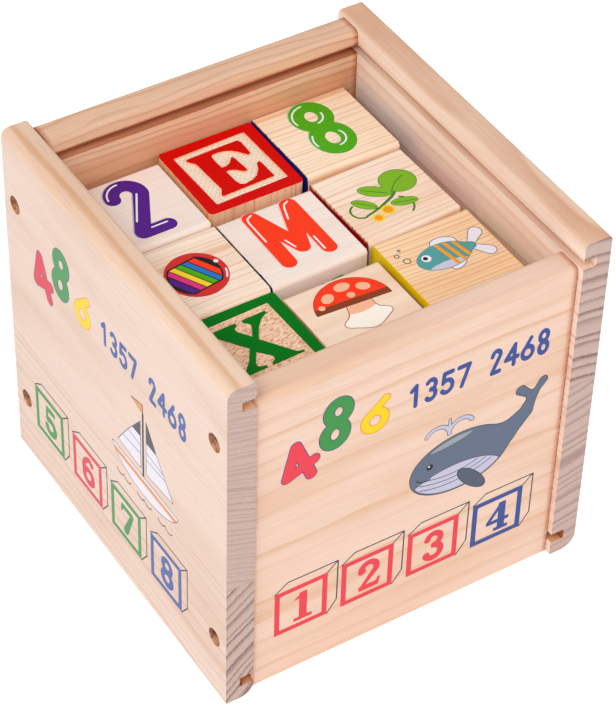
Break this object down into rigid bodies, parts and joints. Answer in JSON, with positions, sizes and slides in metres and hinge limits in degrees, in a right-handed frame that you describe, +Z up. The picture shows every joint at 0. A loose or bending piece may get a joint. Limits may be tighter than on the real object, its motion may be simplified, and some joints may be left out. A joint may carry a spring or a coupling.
{
  "type": "box of alphabet blocks",
  "caption": "Open pine box with lid grooves, holding loose wooden cube blocks with raised letters on two faces and flat faces for prints.",
  "frame": {"origin": "middle of the box's underside, on the surface that it stands on", "axes": "+X to the right wall, +Y to the back wall, +Z up; the front wall, which the lid would slide over, is at -Y"},
  "size_m": [0.135, 0.1382, 0.1355],
  "materials": {
    "side_pine": "sanded bare pine",
    "cross_pine": "sanded bare pine",
    "panel_pine": "sanded bare pine",
    "block_pine": "sanded bare pine, printed and painted in part",
    "screw_steel": "yellow zinc plated"
  },
  "bodies": {
    "box": {"left_wall": "side_pine", "right_wall": "side_pine", "front_wall": "cross_pine", "back_wall": "cross_pine", "bottom_panel": "panel_pine", "left_screws": "screw_steel", "right_screws": "screw_steel"},
    "block_low_back_left": {"block_low_back_left": "block_pine"},
    "block_low_back_centre": {"block_low_back_centre": "block_pine"},
    "block_low_back_right": {"block_low_back_right": "block_pine"},
    "block_low_middle_left": {"block_low_middle_left": "block_pine"},
    "block_low_middle_centre": {"block_low_middle_centre": "block_pine"},
    "block_low_middle_right": {"block_low_middle_right": "block_pine"},
    "block_low_front_left": {"block_low_front_left": "block_pine"},
    "block_low_front_centre": {"block_low_front_centre": "block_pine"},
    "block_low_front_right": {"block_low_front_right": "block_pine"},
    "block_mid_back_left": {"block_mid_back_left": "block_pine"},
    "block_mid_back_centre": {"block_mid_back_centre": "block_pine"},
    "block_mid_back_right": {"block_mid_back_right": "block_pine"},
    "block_mid_middle_left": {"block_mid_middle_left": "block_pine"},
    "block_mid_middle_centre": {"block_mid_middle_centre": "block_pine"},
    "block_mid_middle_right": {"block_mid_middle_right": "block_pine"},
    "block_mid_front_left": {"block_mid_front_left": "block_pine"},
    "block_mid_front_centre": {"block_mid_front_centre": "block_pine"},
    "block_mid_front_right": {"block_mid_front_right": "block_pine"},
    "block_top_back_left": {"block_top_back_left": "block_pine"},
    "block_top_back_centre": {"block_top_back_centre": "block_pine"},
    "block_top_back_right": {"block_top_back_right": "block_pine"},
    "block_top_middle_left": {"block_top_middle_left": "block_pine"},
    "block_top_middle_centre": {"block_top_middle_centre": "block_pine"},
    "block_top_middle_right": {"block_top_middle_right": "block_pine"},
    "block_top_front_left": {"block_top_front_left": "block_pine"},
    "block_top_front_centre": {"block_top_front_centre": "block_pine"},
    "block_top_front_right": {"block_top_front_right": "block_pine"}
  },
  "joints": [
    {"name": "lift_low_back_left", "type": "slide", "parent": "box", "child": "block_low_back_left", "axis": [0, 0, 1], "range_m": [0, 0.135]},
    {"name": "lift_low_back_centre", "type": "slide", "parent": "box", "child": "block_low_back_centre", "axis": [0, 0, 1], "range_m": [0, 0.135]},
    {"name": "lift_low_back_right", "type": "slide", "parent": "box", "child": "block_low_back_right", "axis": [0, 0, 1], "range_m": [0, 0.135]},
    {"name": "lift_low_middle_left", "type": "slide", "parent": "box", "child": "block_low_middle_left", "axis": [0, 0, 1], "range_m": [0, 0.135]},
    {"name": "lift_low_middle_centre", "type": "slide", "parent": "box", "child": "block_low_middle_centre", "axis": [0, 0, 1], "range_m": [0, 0.135]},
    {"name": "lift_low_middle_right", "type": "slide", "parent": "box", "child": "block_low_middle_right", "axis": [0, 0, 1], "range_m": [0, 0.135]},
    {"name": "lift_low_front_left", "type": "slide", "parent": "box", "child": "block_low_front_left", "axis": [0, 0, 1], "range_m": [0, 0.135]},
    {"name": "lift_low_front_centre", "type": "slide", "parent": "box", "child": "block_low_front_centre", "axis": [0, 0, 1], "range_m": [0, 0.135]},
    {"name": "lift_low_front_right", "type": "slide", "parent": "box", "child": "block_low_front_right", "axis": [0, 0, 1], "range_m": [0, 0.135]},
    {"name": "lift_mid_back_left", "type": "slide", "parent": "block_low_back_left", "child": "block_mid_back_left", "axis": [0, 0, 1], "range_m": [0, 0.1]},
    {"name": "lift_mid_back_centre", "type": "slide", "parent": "block_low_back_centre", "child": "block_mid_back_centre", "axis": [0, 0, 1], "range_m": [0, 0.1]},
    {"name": "lift_mid_back_right", "type": "slide", "parent": "block_low_back_right", "child": "block_mid_back_right", "axis": [0, 0, 1], "range_m": [0, 0.1]},
    {"name": "lift_mid_middle_left", "type": "slide", "parent": "block_low_middle_left", "child": "block_mid_middle_left", "axis": [0, 0, 1], "range_m": [0, 0.1]},
    {"name": "lift_mid_middle_centre", "type": "slide", "parent": "block_low_middle_centre", "child": "block_mid_middle_centre", "axis": [0, 0, 1], "range_m": [0, 0.1]},
    {"name": "lift_mid_middle_right", "type": "slide", "parent": "block_low_middle_right", "child": "block_mid_middle_right", "axis": [0, 0, 1], "range_m": [0, 0.1]},
    {"name": "lift_mid_front_left", "type": "slide", "parent": "block_low_front_left", "child": "block_mid_front_left", "axis": [0, 0, 1], "range_m": [0, 0.1]},
    {"name": "lift_mid_front_centre", "type": "slide", "parent": "block_low_front_centre", "child": "block_mid_front_centre", "axis": [0, 0, 1], "range_m": [0, 0.1]},
    {"name": "lift_mid_front_right", "type": "slide", "parent": "block_low_front_right", "child": "block_mid_front_right", "axis": [0, 0, 1], "range_m": [0, 0.1]},
    {"name": "lift_top_back_left", "type": "slide", "parent": "block_mid_back_left", "child": "block_top_back_left", "axis": [0, 0, 1], "range_m": [0, 0.07]},
    {"name": "lift_top_back_centre", "type": "slide", "parent": "block_mid_back_centre", "child": "block_top_back_centre", "axis": [0, 0, 1], "range_m": [0, 0.07]},
    {"name": "lift_top_back_right", "type": "slide", "parent": "block_mid_back_right", "child": "block_top_back_right", "axis": [0, 0, 1], "range_m": [0, 0.07]},
    {"name": "lift_top_middle_left", "type": "slide", "parent": "block_mid_middle_left", "child": "block_top_middle_left", "axis": [0, 0, 1], "range_m": [0, 0.07]},
    {"name": "lift_top_middle_centre", "type": "slide", "parent": "block_mid_middle_centre", "child": "block_top_middle_centre", "axis": [0, 0, 1], "range_m": [0, 0.07]},
    {"name": "lift_top_middle_right", "type": "slide", "parent": "block_mid_middle_right", "child": "block_top_middle_right", "axis": [0, 0, 1], "range_m": [0, 0.07]},
    {"name": "lift_top_front_left", "type": "slide", "parent": "block_mid_front_left", "child": "block_top_front_left", "axis": [0, 0, 1], "range_m": [0, 0.07]},
    {"name": "lift_top_front_centre", "type": "slide", "parent": "block_mid_front_centre", "child": "block_top_front_centre", "axis": [0, 0, 1], "range_m": [0, 0.07]},
    {"name": "lift_top_front_right", "type": "slide", "parent": "block_mid_front_right", "child": "block_top_front_right", "axis": [0, 0, 1], "range_m": [0, 0.07]}
  ]
}
